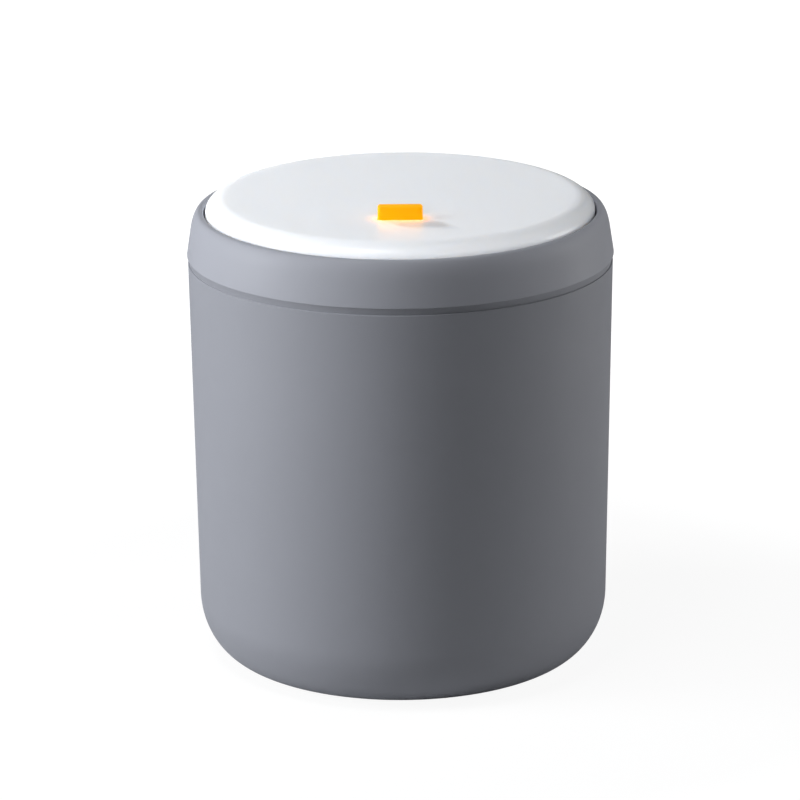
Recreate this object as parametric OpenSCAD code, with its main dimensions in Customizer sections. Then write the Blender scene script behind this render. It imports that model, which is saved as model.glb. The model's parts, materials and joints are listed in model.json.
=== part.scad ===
// Push top countertop bin: a drafted round bin, a lift-off rim collar and a
// sprung hinged lid that a small push tab releases.
// Millimetres, +Z up, origin on the surface under the middle of the bin.
// The front, where the push tab is, faces -Y and the hinge is at +Y.

/* [Body] */
// Outer radius of the body just below the collar
body_r = 90.3; // [84:0.1:100]
// How much the radius shrinks from the rim down to the underside
body_draft = 2.4; // [0:0.1:5]
// Height of the body from its underside to its rim
body_h = 176.9; // [120:0.1:260]
// Thickness of the body's wall and floor
wall = 2.4; // [1.8:0.1:3]
// Radial width of the rounded bottom edge
corner_w = 20; // [12:0.5:26]
// Height of the rounded bottom edge
corner_h = 27; // [12:0.5:40]
// Height of the shadow groove under the collar
groove_h = 3; // [1:0.1:5]
// Depth of the shadow groove under the collar
groove_d = 0.9; // [0.3:0.1:1]
// Radius of the hollow in the underside
hollow_r = 50; // [30:1:51]
// Depth of the hollow in the underside
hollow_d = 1.2; // [0.4:0.1:1.4]

/* [Feet] */
// How far the foot pads stand proud of the underside
foot_proud = 0.8; // [0.5:0.1:3]
// Radius of a foot pad
foot_r = 6; // [4:0.5:7]
// Depth of the recess that holds a foot pad
foot_seat = 1.2; // [0.6:0.1:1.4]
// Radius of the circle that the foot pads lie on
foot_ring_r = 59; // [58.5:0.1:60]

/* [Collar] */
// How far the collar's lower edge stands out past the body
collar_over = 0.37; // [0.1:0.01:1]
// Height of the collar above the body's rim
collar_h = 19.1; // [18.7:0.1:24]
// Thickness of the collar's outer wall
collar_wall = 2.2; // [1.8:0.1:2.6]
// How much the straight part of the collar leans in
collar_lean = 1.77; // [1.2:0.01:2]
// Height of the straight part of the collar
collar_straight = 11.5; // [9:0.1:12]
// Thickness of the collar's inner wall, which plugs into the body
plug_wall = 1.8; // [1.4:0.1:2.2]
// How deep the inner wall plugs into the body
plug_depth = 13; // [8:0.5:20]
// Depth of the ribs that centre the inner wall in the body
rib_d = 2.35; // [1.5:0.05:3]
// Thickness of a rib
rib_t = 1.6; // [1:0.1:3]
// Number of ribs
rib_n = 16; // [8:1:24]
// Width of the shelf under the lid
shelf_w = 5.9; // [5:0.1:8]
// Thickness of the shelf at its inner edge
shelf_t = 1.5; // [1:0.1:3]

/* [Lid cover] */
// Height of the lid's flat top above the collar
lid_rise = 5.55; // [5:0.05:8]
// Wall thickness of the lid cover
cover_wall = 2; // [1.6:0.1:2.4]
// Width of the rolled edge of the lid
edge_w = 9; // [5:0.5:14]
// Drop of the rolled edge of the lid
edge_drop = 6.25; // [5.5:0.05:7]
// Depth of the skirt below the rolled edge
skirt_h = 6.9; // [6.7:0.1:9]

/* [Lid underpan] */
// Thickness of the underpan
pan_t = 1.8; // [1.4:0.1:2.4]
// How far the underpan sits up inside the skirt
pan_inset = 0.4; // [0:0.1:1]
// Radius of the circle that the outer screws lie on
screw_ring_r = 70; // [66:0.5:72]
// Radius of the raised panel on the underside of the underpan
panel_r = 58; // [40:1:60]
// Height of the raised panel on the underside of the underpan
panel_h = 0.6; // [0.3:0.1:0.8]

/* [Buffers] */
// Radius of a lid buffer
buffer_r = 2.2; // [1.5:0.1:2.4]
// How far a buffer stands above the shelf
buffer_proud = 0.8; // [0.5:0.1:1.5]
// Depth of the recess that holds a buffer
buffer_seat = 1; // [0.5:0.1:1.2]

/* [Hinge] */
// Distance from the lid's rear edge to the hinge axis
hinge_back = 10.6; // [10:0.1:12]
// Radius of the hinge pin
pin_r = 1.25; // [1:0.05:1.4]
// Radius of the hinge eyes
eye_r = 2.8; // [2.4:0.1:2.9]
// Distance from the middle to the middle of each collar lug
lug_x = 22; // [20:0.5:30]
// Width of a collar lug along the pin
lug_w = 4.5; // [3:0.5:6]
// Thickness of the neck that carries a collar lug's eye
neck_t = 3.2; // [2.4:0.1:3.2]
// Width of a lid knuckle along the pin
knuckle_w = 4; // [3:0.5:6]
// Length of the pin's head
pin_head_l = 1; // [0.6:0.1:2]
// How far the lid opens, in degrees
open_angle = 70; // [50:1:70]

/* [Push tab] */
// Width of the push tab
tab_w = 18.8; // [16:0.1:22]
// Depth of the push tab from front to back
tab_d = 4.2; // [3.5:0.1:5]
// Height of the push tab above the lid
tab_h = 6; // [4:0.1:8]
// Radius of the push tab's rounded edges
tab_round = 1.2; // [0.4:0.1:1.4]
// Distance from the middle of the lid forward to the middle of the tab
tab_forward = 39.4; // [36:0.1:44]
// Thickness of the flange that stops the tab under the lid
flange_t = 2; // [1.5:0.1:2.5]
// How far the flange reaches past the tab
flange_over = 2.5; // [1.5:0.1:3]
// Width of the tab's wedge foot
foot_w = 12.8; // [10:0.1:14]

/* [Latch] */
// How far the tab goes down, and the bolt goes back
travel = 2.5; // [1.5:0.1:2.5]
// Width of the latch bolt
bolt_w = 19; // [18:0.1:24]
// Thickness of the latch bolt
bolt_t = 2.5; // [2:0.1:2.6]
// How far the bolt's nose reaches into the collar
bolt_throw = 1.9; // [1.2:0.1:1.9]
// Distance from the middle of the lid to the bolt's rear end
bolt_rear = 20; // [16:0.5:22]
// Radius of the spigots that hold the bolt spring
spigot_r = 1.3; // [1:0.1:1.4]
// Length of the spigots that hold the bolt spring
spigot_l = 3; // [2:0.5:3]
// Thickness of the bridge that holds the bolt down
bridge_t = 1.8; // [1.2:0.1:2.4]
// Width of the bridge from front to back
bridge_d = 8; // [6:0.5:8]

/* [Springs] */
// Wire thickness of the bolt spring
bolt_wire = 0.6; // [0.4:0.05:0.7]
// Radius of the bolt spring to the middle of its wire
bolt_coil_r = 2.1; // [2:0.05:2.2]
// Number of turns of the bolt spring
bolt_turns = 8; // [5:1:9]
// Length of the bolt spring as fitted
bolt_spring_l = 14; // [12:0.5:16]
// Wire thickness of the lid spring
lid_wire = 1; // [0.7:0.05:1]
// Radius of the lid spring to the middle of its wire
lid_coil_r = 2.7; // [2.5:0.05:2.7]
// Number of full turns of the lid spring
lid_turns = 5; // [3:1:6]
// Length of the lid spring's coil along the pin
lid_coil_l = 12; // [10:0.5:16]
// Reach of the lid spring's front leg under the cover
lid_leg = 16; // [10:0.5:20]

/* [Screws] */
// Radius of the screw shanks
shank_r = 1.25; // [1:0.05:1.4]
// Radius of the screw heads
head_r = 2.6; // [2.2:0.1:3]
// Height of the screw heads
head_h = 1.5; // [1:0.1:1.8]

/* [Clearances] */
// Gap between the collar's ribs and the inside of the body
plug_clear = 0.35; // [0.3:0.05:0.6]
// Gap between the lid and the collar
lid_gap = 0.8; // [0.6:0.05:1.2]
// Gap round pieces that slide or drop in
slide_clear = 0.3; // [0.2:0.05:0.4]
// Radial gap of the pin in the collar's lugs
pin_run = 0.05; // [0.02:0.01:0.1]
// Radial gap of a screw or a fixed pin in its hole
fixed_fit = 0.03; // [0.01:0.01:0.05]

/* [Hidden] */
$fn = 96;

grey = [0.44, 0.45, 0.49];
white = [0.93, 0.94, 0.95];
orange = [1, 0.66, 0.02];
dark = [0.2, 0.2, 0.22];
steel = [0.7, 0.71, 0.73];

// A hair past a face, so that a cut goes right through or a joint fuses
eps = 0.5;

// Heights of the main levels above the surface
rim_z = foot_proud + body_h;
top_z = rim_z + collar_h;
lid_top = top_z + lid_rise;
edge_z = lid_top - edge_drop;
skirt_z = edge_z - skirt_h;
under_z = lid_top - cover_wall;
pan_z = skirt_z + pan_inset;
pan_top = pan_z + pan_t;
shelf_z = skirt_z - buffer_proud;
bolt_z = pan_top + 1.4;
bolt_top = bolt_z + bolt_t;
foot_z = pan_top + travel + slide_clear;
flange_z = under_z - flange_t;

// Radii of the main rings
groove_top = groove_d / 6;
flat_r = body_r - body_draft - corner_w;
body_in_r = body_r - wall;
mouth_r = body_in_r - plug_clear - rib_d - plug_wall;
plug_r = mouth_r + plug_wall;
collar_r = body_r + collar_over;
lid_r = mouth_r - lid_gap;
skirt_in_r = lid_r - cover_wall;
pan_r = skirt_in_r - slide_clear;
shelf_r = mouth_r - shelf_w;
nose_r = mouth_r + bolt_throw;

// The hinge axis, and what the lid's rear edge sweeps round it
hinge_y = lid_r - hinge_back;
hinge_z = top_z;
sweep_r = norm([hinge_back, hinge_z - skirt_z]);
bracket_z = hinge_z - sweep_r - 2 * slide_clear;
bracket_t = 2.6;
bracket_half = lug_x + lug_w / 2 + 3;
bracket_front = hinge_y - neck_t / 2 - 0.8;
gusset_h = 9;
gusset_t = 2;
rear_half = 48;
rear_in = 12;
notch_clear = 0.4;

// The push tab and its wedge foot, front and rear faces
tab_y = -tab_forward;
tab_front = tab_y - tab_d / 2;
wedge_front = tab_front + slide_clear;
wedge_toe = wedge_front + 2;
wedge_run = flange_z - foot_z;
flange_front = tab_front - flange_over;
flange_rear = wedge_toe + wedge_run + 0.8;
flange_half = tab_w / 2 + flange_over;
well_t = 1.4;

// The bolt, its window, runners, rails and bridge
window_front = wedge_front - travel - slide_clear;
ramp_toe = wedge_toe - (foot_z - bolt_z) + slide_clear / 2;
window_half = foot_w / 2 + slide_clear;
rail_t = 2.4;
rail_in = bolt_w / 2 + slide_clear;
rail_end = -bolt_rear + 1;
bridge_z = bolt_top + slide_clear;
post_x = rail_in + rail_t + head_r * 0.7;
bridge_y = -bolt_rear - bridge_d / 2 - 2;
spring_z = bolt_z + bolt_t / 2;
stop_y = -bolt_rear + bolt_spring_l;
stop_t = 2;

screw_angles = [15, 60, 120, 165, 230, 310];
buffer_angles = [25, 155, 225, 315];
cup_h = 1.8;
cup_top = pan_z + head_h + cup_h;
screw_bite = 5;
bed_inset = 6;
stop_half = 5;
stop_over = 3;

// Points on an elliptical arc in the plane of a profile
function arc(cx, cz, rx, rz, a0, a1, n = 18) =
    [for (i = [0:n]) let (a = a0 + (a1 - a0) * i / n) [cx + rx * cos(a), cz + rz * sin(a)]];

// Points on a cubic curve that leaves p towards q and reaches s from r
function curve(p, q, r, s, n = 12) =
    [for (i = [0:n]) let (t = i / n, u = 1 - t)
        u * u * u * p + 3 * u * u * t * q + 3 * u * t * t * r + t * t * t * s];

module revolve(points) rotate_extrude() polygon(points);

// Copies at a radius, turned to each of the angles
module ring(radius, angles) {
    for (a = angles) rotate([0, 0, a]) translate([radius, 0, 0]) children();
}

// A rectangle about the origin with true round corners
module round_rect(w, h, r) {
    square([w - 2 * r, h], center = true);
    square([w, h - 2 * r], center = true);
    for (x = [-1, 1], y = [-1, 1])
        translate([x * (w / 2 - r), y * (h / 2 - r)]) circle(r);
}

// Stands a profile drawn as Y and Z on its place and gives it a width along X
module across(x0, x1) {
    translate([x0, 0, 0]) rotate([90, 0, 90]) linear_extrude(x1 - x0) children();
}

// A box between two corners
module block(low, high) translate(low) cube(high - low);

// The outer form of the body, or of its cavity when drawn in by t
module body_form(t, top) {
    lean = body_draft / body_h;
    low = foot_proud + t;
    turn = -atan(lean * (corner_h - t) / (corner_w - t));
    revolve(concat(
        [[0, low]],
        arc(flat_r, foot_proud + corner_h, corner_w - t, corner_h - t, -90, turn, 24),
        [[body_r - t, rim_z], [body_r - t, top], [0, top]]
    ));
}

module bin_body() {
    color(grey) difference() {
        body_form(0, rim_z);
        body_form(wall, rim_z + eps);
        // Shadow groove under the collar, its face undercut
        revolve([
            [body_r - groove_d, rim_z - groove_h], [body_r + eps, rim_z - groove_h],
            [body_r + eps, rim_z + eps], [body_r - groove_top, rim_z + eps],
            [body_r - groove_top, rim_z]
        ]);
        // Hollow in the underside, and the recesses of the feet
        cylinder(r = hollow_r, h = foot_proud + hollow_d);
        ring(foot_ring_r, foot_angles) cylinder(r = foot_r + fixed_fit, h = foot_proud + foot_seat);
    }
}

foot_angles = [45, 135, 225, 315];

module foot_pad(i) {
    soft = foot_proud * 0.6;
    color(dark) rotate([0, 0, foot_angles[i]]) translate([foot_ring_r, 0, 0]) revolve([
        [0, 0], [foot_r - soft, 0], [foot_r, soft], [foot_r, foot_proud + foot_seat],
        [0, foot_proud + foot_seat]
    ]);
}

// Section of the collar: outer wall, rolled top, inner wall and shelf
module collar_section() {
    lip = 1.6;
    round_in = 0.8;
    bend = rim_z + collar_straight;
    bend_r = collar_r - collar_lean;
    in_r = bend_r - collar_wall;
    roof = top_z - collar_wall - 1.2;
    slope = collar_lean / collar_straight;
    rise = 0.46 * (top_z - bend);
    polygon(concat(
        [[collar_r, rim_z]],
        curve([bend_r, bend], [bend_r - slope * rise, bend + rise],
            [mouth_r + lip + 1.9, top_z], [mouth_r + lip, top_z]),
        arc(mouth_r + round_in, top_z - round_in, round_in, round_in, 90, 180, 6),
        [[mouth_r, shelf_z], [shelf_r, shelf_z], [shelf_r, shelf_z - shelf_t],
            [mouth_r, shelf_z - shelf_t - shelf_w * 0.6],
            [mouth_r, rim_z - plug_depth], [plug_r, rim_z - plug_depth]],
        curve([plug_r, roof - 1], [plug_r + 0.4, roof], [in_r, bend + rise], [in_r, bend], 8),
        [[collar_r - collar_wall, rim_z]]
    ));
}

// Locating ribs between the collar's two walls and down the plug
module collar_ribs() {
    step = 360 / rib_n;
    for (i = [0:rib_n - 1]) rotate([0, 0, (i + 0.5) * step]) {
        translate([plug_r - eps, -rib_t / 2, rim_z - plug_depth + 1])
            cube([rib_d + eps, rib_t, plug_depth + 4]);
        translate([plug_r - eps, -rib_t / 2, rim_z])
            cube([collar_r - collar_wall - plug_r - 0.4 + 2 * eps, rib_t, 4]);
    }
}

// Bracket behind the lid with two lugs that hold the pin
module hinge_bracket() {
    base = bracket_z - bracket_t;
    deep = mouth_r + plug_wall / 2;
    intersection() {
        block([-bracket_half, bracket_front, base], [bracket_half, deep, bracket_z]);
        cylinder(r = deep, h = top_z);
    }
    for (x = [-lug_x, 0, lug_x]) intersection() {
        across(x - gusset_t / 2, x + gusset_t / 2)
            polygon([[hinge_y, base], [deep, base], [deep, base - gusset_h]]);
        cylinder(r = deep, h = top_z);
    }
    for (x = [-lug_x, lug_x]) across(x - lug_w / 2, x + lug_w / 2) {
        translate([hinge_y, hinge_z]) circle(eye_r);
        translate([hinge_y - neck_t / 2, base + eps]) square([neck_t, hinge_z - base - eps]);
    }
}

// What the lid's rear edge swings down through
module rear_cut() {
    intersection() {
        block([-rear_half, hinge_y - rear_in, shelf_z - shelf_t - shelf_w],
            [rear_half, body_r, shelf_z + eps]);
        cylinder(r = mouth_r, h = top_z);
    }
}

module rim_collar() {
    color(grey) difference() {
        union() {
            difference() {
                union() {
                    rotate_extrude() collar_section();
                    collar_ribs();
                }
                rear_cut();
            }
            hinge_bracket();
        }
        // Keeper pocket for the bolt's nose
        intersection() {
            block([-rail_in - slide_clear, -collar_r, bolt_z - slide_clear],
                [rail_in + slide_clear, -lid_r, bolt_top + slide_clear]);
            cylinder(r = nose_r + slide_clear, h = lid_top);
        }
        for (i = [0:3]) rotate([0, 0, buffer_angles[i]])
            translate([buffer_ring_r, 0, shelf_z - buffer_seat])
                cylinder(r = buffer_r + fixed_fit, h = buffer_seat + eps);
        pin_bore(pin_r + pin_run);
        // Socket for the rear leg of the lid spring
        translate([-lid_coil_l / 2, hinge_y, bracket_z - bracket_t - eps])
            cylinder(r = lid_wire / 2 + slide_clear, h = bracket_t + 2 * eps);
    }
}

buffer_ring_r = (shelf_r + mouth_r) / 2 + 0.4;

module lid_buffer(i) {
    color(dark) rotate([0, 0, buffer_angles[i]])
        translate([buffer_ring_r, 0, shelf_z - buffer_seat])
            cylinder(r = buffer_r, h = buffer_seat + buffer_proud);
}

module pin_bore(r) {
    half = lug_x + lug_w + knuckle_w + 4;
    translate([-half, hinge_y, hinge_z]) rotate([0, 90, 0]) cylinder(r = r, h = 2 * half);
}

// What a collar lug's neck and the spring's rear leg sweep in the lid as it opens
module hinge_notches() {
    half = neck_t / 2 + notch_clear;
    reach = sweep_r + 2;
    far = open_angle - 90;
    for (n = [[-lug_x, lug_w], [-lid_coil_l / 2, lid_wire + 1], [lug_x, lug_w]])
        across(n[0] - n[1] / 2 - notch_clear, n[0] + n[1] / 2 + notch_clear)
            translate([hinge_y, hinge_z]) polygon(concat(
                [[-half, 0], [-half, -reach]],
                [for (i = [0:8]) let (a = -90 + open_angle * i / 8) reach * [cos(a), sin(a)]],
                [reach * [cos(far), sin(far)] + half * [-sin(far), cos(far)],
                    half * [-sin(far), cos(far)]]
            ));
}

// Four knuckles under the cover, one on each side of each collar lug
module lid_knuckles() {
    for (s = [-1, 1], side = [-1, 1]) {
        x = s * lug_x + side * (lug_w / 2 + slide_clear + knuckle_w / 2);
        across(x - knuckle_w / 2, x + knuckle_w / 2) {
            translate([hinge_y, hinge_z]) circle(eye_r);
            translate([hinge_y - eye_r, hinge_z]) square([2 * eye_r, under_z - hinge_z + eps]);
        }
    }
}

// The cover's own revolved shell: flat top, rolled edge and skirt
module cover_shell() {
    in_w = edge_w - cover_wall;
    in_drop = edge_drop - cover_wall;
    revolve(concat(
        [[0, lid_top]],
        arc(lid_r - edge_w, edge_z, edge_w, edge_drop, 90, 0),
        [[lid_r, skirt_z], [skirt_in_r, skirt_z]],
        arc(lid_r - edge_w, edge_z, in_w, in_drop, 0, 90),
        [[0, under_z]]
    ));
}

// Walls under the cover that guide the tab's flange
module tab_well() {
    low = bolt_top + 2 * slide_clear;
    difference() {
        block([-flange_half - slide_clear - well_t, flange_front - slide_clear - well_t, low],
            [flange_half + slide_clear + well_t, flange_rear + slide_clear + well_t, under_z + eps]);
        block([-flange_half - slide_clear, flange_front - slide_clear, low - eps],
            [flange_half + slide_clear, flange_rear + slide_clear, under_z]);
    }
}

module lid_cover() {
    boss_h = under_z - cup_top + eps;
    color(white) difference() {
        union() {
            cover_shell();
            ring(screw_ring_r, screw_angles) translate([0, 0, cup_top]) cylinder(r = 3, h = boss_h);
            lid_knuckles();
            tab_well();
        }
        translate([0, tab_y, under_z - eps]) linear_extrude(cover_wall + 2 * eps)
            round_rect(tab_w + 2 * slide_clear, tab_d + 2 * slide_clear, tab_round + slide_clear);
        block([-rail_in, -lid_r - eps, bolt_z - slide_clear],
            [rail_in, -skirt_in_r + 3, bolt_top + slide_clear]);
        hinge_notches();
        ring(screw_ring_r, screw_angles) translate([0, 0, cup_top - eps])
            cylinder(r = shank_r + fixed_fit, h = screw_bite + 2 * eps);
        pin_bore(pin_r + fixed_fit);
    }
}

// Runners, rails, posts and spring stop that carry the latch
module latch_bed() {
    front = -pan_r + bed_inset;
    for (s = [-1, 1]) {
        mirror([s < 0 ? 1 : 0, 0, 0]) {
            block([window_half + 0.4, front, pan_top - eps], [bolt_w / 2, rail_end, bolt_z]);
            block([rail_in, front, pan_top - eps], [rail_in + rail_t, rail_end, bridge_z]);
            translate([post_x, bridge_y, pan_top - eps])
                cylinder(r = head_r, h = bridge_z - pan_top + eps);
        }
    }
    block([-stop_half, stop_y, pan_top - eps], [stop_half, stop_y + stop_t, spring_z + stop_over]);
    translate([0, stop_y - spigot_l, spring_z]) rotate([-90, 0, 0])
        cylinder(r = spigot_r, h = spigot_l + eps);
}

module lid_underpan() {
    color(grey) difference() {
        union() {
            translate([0, 0, pan_z]) cylinder(r = pan_r, h = pan_t);
            revolve([[0, pan_z - panel_h], [panel_r - panel_h, pan_z - panel_h],
                [panel_r, pan_z + eps], [0, pan_z + eps]]);
            ring(screw_ring_r, screw_angles) translate([0, 0, pan_z])
                cylinder(r = head_r + 1.6, h = cup_top - pan_z);
            latch_bed();
        }
        ring(screw_ring_r, screw_angles) translate([0, 0, pan_z - eps]) {
            cylinder(r = head_r + slide_clear, h = head_h + eps);
            cylinder(r = shank_r + slide_clear, h = cup_top - pan_z + 2 * eps);
        }
        hinge_notches();
        for (x = [-post_x, post_x]) translate([x, bridge_y, pan_top])
            cylinder(r = shank_r + fixed_fit, h = bridge_z);
    }
}

// A screw that points up, its head's bearing face at the origin
module screw(length) {
    translate([0, 0, -head_h]) difference() {
        cylinder(r = head_r, h = head_h);
        for (a = [0, 90]) rotate([0, 0, a]) translate([-head_r * 0.55, -0.3, -eps])
            cube([head_r * 1.1, 0.6, head_h / 2 + eps]);
    }
    cylinder(r = shank_r, h = length);
}

module underpan_screws() {
    color(steel) ring(screw_ring_r, screw_angles)
        translate([0, 0, pan_z + head_h]) screw(cup_h + screw_bite);
}

module bridge_screws() {
    color(steel) for (x = [-post_x, post_x])
        translate([x, bridge_y, bridge_z + bridge_t]) mirror([0, 0, 1]) screw(bridge_t + 3);
}

module bolt_bridge() {
    color(dark) difference() {
        translate([0, bridge_y, bridge_z]) linear_extrude(bridge_t)
            round_rect(2 * (post_x + head_r), bridge_d, 2);
        for (x = [-post_x, post_x]) translate([x, bridge_y, bridge_z - eps])
            cylinder(r = shank_r + slide_clear / 2, h = bridge_t + 2 * eps);
    }
}

// The tab: rounded head, flange and wedge foot in one piece
module push_tab() {
    low = under_z - eps;
    high = lid_top + tab_h;
    tall = 2 * (high - low);
    color(orange) {
        intersection() {
            translate([0, tab_y, low]) linear_extrude(high - low) round_rect(tab_w, tab_d, tab_round);
            across(-tab_w / 2, tab_w / 2) translate([tab_y, low]) round_rect(tab_d, tall, tab_round);
            translate([0, tab_y + tab_d / 2, low]) rotate([90, 0, 0]) linear_extrude(tab_d)
                round_rect(tab_w, tall, tab_round);
        }
        block([-flange_half, flange_front, flange_z], [flange_half, flange_rear, under_z]);
        across(-foot_w / 2, foot_w / 2) polygon([
            [wedge_front, flange_z + eps], [wedge_front, foot_z], [wedge_toe, foot_z],
            [wedge_toe + wedge_run, flange_z], [wedge_toe + wedge_run, flange_z + eps]
        ]);
    }
}

// The bolt: a flat plate with a ramped window and an arched nose
module latch_bolt() {
    lead = 1.5;
    color(dark) difference() {
        union() {
            intersection() {
                block([-bolt_w / 2, -nose_r, bolt_z], [bolt_w / 2, -bolt_rear, bolt_top]);
                revolve([[0, bolt_z], [nose_r - lead, bolt_z], [nose_r, bolt_z + lead],
                    [nose_r, bolt_top], [0, bolt_top]]);
            }
            translate([0, -bolt_rear - eps, spring_z]) rotate([-90, 0, 0])
                cylinder(r = min(spigot_r, bolt_t / 2), h = spigot_l + eps);
        }
        across(-window_half, window_half) polygon([
            [window_front, bolt_z - eps], [ramp_toe - eps, bolt_z - eps],
            [ramp_toe + bolt_t + eps, bolt_top + eps], [window_front, bolt_top + eps]
        ]);
        // Lightening slot in the long front arm
        translate([0, (window_front - lid_r) / 2, bolt_z - eps]) linear_extrude(bolt_t + 2 * eps)
            round_rect(bolt_w * 0.4, (lid_r + window_front) * 0.5, 2);
    }
}

// One unbroken wire: rings of points swept along a path, closed at both ends
module wire(path, r, sides = 6) {
    n = len(path);
    along = [for (i = [0:n - 1]) let (d = path[min(i + 1, n - 1)] - path[max(i - 1, 0)]) d / norm(d)];
    points = [for (i = [0:n - 1]) let (
            side = cross(along[i], [1, 0.02, 0.01]), u = side / norm(side), v = cross(along[i], u))
        for (k = [0:sides - 1]) path[i] + r * (cos(360 * k / sides) * u + sin(360 * k / sides) * v)];
    walls = [for (i = [0:n - 2], k = [0:sides - 1]) let (
            a = i * sides + k, b = i * sides + (k + 1) % sides)
        each [[a, b + sides, b], [a, a + sides, b + sides]]];
    ends = [for (k = [1:sides - 2]) each
        [[0, k, k + 1], [(n - 1) * sides, (n - 1) * sides + k + 1, (n - 1) * sides + k]]];
    polyhedron(points, concat(walls, ends), convexity = 8);
}

function bolt_spring_path() =
    let (r = bolt_coil_r, span = bolt_spring_l - bolt_wire - slide_clear, steps = 12 * bolt_turns)
    [for (i = [0:steps]) let (a = 360 * bolt_turns * i / steps)
        [r * cos(a), -bolt_rear + bolt_wire / 2 + slide_clear / 2 + span * i / steps,
            spring_z + r * sin(a)]];

module bolt_spring() {
    color(steel) translate([0, 0, spring_z]) rotate([0, 0, 90]) translate([0, 0, -spring_z])
        wire([for (p = bolt_spring_path()) [p[1], -p[0], p[2]]], bolt_wire / 2);
}

// Rear leg up from the bracket, turns round the pin, front leg under the cover
function lid_spring_path() =
    let (r = lid_coil_r, steps = 12 * lid_turns + 3, x0 = -lid_coil_l / 2)
    concat(
        [[x0, hinge_y, bracket_z - bracket_t + 0.6], [x0, hinge_y, bracket_z + 0.4],
            [x0, hinge_y + r - 0.3, hinge_z - 1.6]],
        [for (i = [0:steps]) let (a = 360 * (lid_turns + 0.25) * i / steps)
            [x0 + lid_coil_l * i / steps, hinge_y + r * cos(a), hinge_z + r * sin(a)]],
        [[-x0, hinge_y - 1, hinge_z + r], [-x0, hinge_y - lid_leg, hinge_z + r]]
    );

module lid_spring() {
    color(steel) wire(lid_spring_path(), lid_wire / 2);
}

module hinge_pin() {
    half = lug_x + lug_w / 2 + slide_clear + knuckle_w;
    color(steel) translate([-half, hinge_y, hinge_z]) rotate([0, 90, 0]) {
        cylinder(r = pin_r, h = 2 * half);
        translate([0, 0, 2 * half]) cylinder(r = eye_r * 0.75, h = pin_head_l);
    }
}

bin_body();
for (i = [0:3]) foot_pad(i);
rim_collar();
for (i = [0:3]) lid_buffer(i);
lid_cover();
lid_underpan();
underpan_screws();
push_tab();
latch_bolt();
bolt_bridge();
bridge_screws();
bolt_spring();
hinge_pin();
lid_spring();
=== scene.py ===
"""Looks of a push top countertop bin, dressed round its packed construction.

The bin is a drafted grey body, a rim collar that lifts off, and a white lid on a
sprung hinge that a small orange push tab lets go. The big mouldings, the tab and
both springs are modelled here at the sizes of the construction, with softened
edges. The small working pieces keep their own solids and get their finishes.
Metres, +Z up, front at -Y.
"""

import json
import logging
from dataclasses import dataclass, field
from enum import Enum
from math import asin, atan, cos, degrees, pi, radians, sin, sqrt
from typing import Sequence

import bmesh
import bpy
from mathutils import Matrix, Vector

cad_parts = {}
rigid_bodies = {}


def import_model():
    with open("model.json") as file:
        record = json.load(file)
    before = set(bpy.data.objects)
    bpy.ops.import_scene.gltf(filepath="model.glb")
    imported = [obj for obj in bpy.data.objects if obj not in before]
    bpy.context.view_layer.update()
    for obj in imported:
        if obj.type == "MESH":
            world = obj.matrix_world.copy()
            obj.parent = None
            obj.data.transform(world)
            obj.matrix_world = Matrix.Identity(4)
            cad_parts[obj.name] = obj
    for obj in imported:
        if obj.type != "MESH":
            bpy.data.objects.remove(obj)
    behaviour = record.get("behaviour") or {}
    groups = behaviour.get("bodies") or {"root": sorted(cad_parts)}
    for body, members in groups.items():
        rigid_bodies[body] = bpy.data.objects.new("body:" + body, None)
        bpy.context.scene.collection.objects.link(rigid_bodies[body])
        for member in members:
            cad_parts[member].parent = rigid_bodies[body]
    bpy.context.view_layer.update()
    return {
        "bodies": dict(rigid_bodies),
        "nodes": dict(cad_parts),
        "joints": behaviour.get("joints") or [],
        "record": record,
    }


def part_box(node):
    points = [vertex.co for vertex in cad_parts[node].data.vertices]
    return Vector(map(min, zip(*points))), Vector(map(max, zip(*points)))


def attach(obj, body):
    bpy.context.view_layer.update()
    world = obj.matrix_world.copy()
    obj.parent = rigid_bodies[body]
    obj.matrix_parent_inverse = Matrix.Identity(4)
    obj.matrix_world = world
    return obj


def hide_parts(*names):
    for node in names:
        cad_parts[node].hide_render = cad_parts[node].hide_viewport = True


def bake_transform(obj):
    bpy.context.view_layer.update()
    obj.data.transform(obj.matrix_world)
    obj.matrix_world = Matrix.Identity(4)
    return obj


MM = 0.001
TURN = 2 * pi
WELD = 1e-7
ON_AXIS = 1e-9
SHARP_ANGLE = radians(32)
CUT_SPILL = 0.6 * MM
MOST_FILLET = 0.45
FILLET_STEPS = 5
EDGE_STEPS = 6
ROUND_STEPS = 224
COIL_STEPS = 24
PIN_SIDES = 48
BORE_SIDES = 32
# Length of a bore along the hinge pin, and where the lid spring's rear leg stands.
BORE_LENGTH = 80 * MM
SPRING_X = -6 * MM
# The height that the lamps are aimed at, and half the floor's width.
LAMP_AIM = 0.12
FLOOR_HALF = 6.0

Pair = tuple[float, float]
Triple = tuple[float, float, float]
Object = bpy.types.Object
Material = bpy.types.Material
NodeTree = bpy.types.NodeTree
Socket = bpy.types.NodeSocket
Value = Socket | Triple | float

log = logging.getLogger("push_top_bin")


class Join(Enum):
    """How one closed form changes another."""

    ADD = "UNION"
    CUT = "DIFFERENCE"


class Along(Enum):
    """The row axis that an outline is drawn out along."""

    X = "x"
    Z = "z"


@dataclass(frozen=True)
class Corner:
    """A corner of a section: radius from the bin's axis, height and fillet."""

    r: float
    z: float
    fillet: float = 0.0


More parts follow.
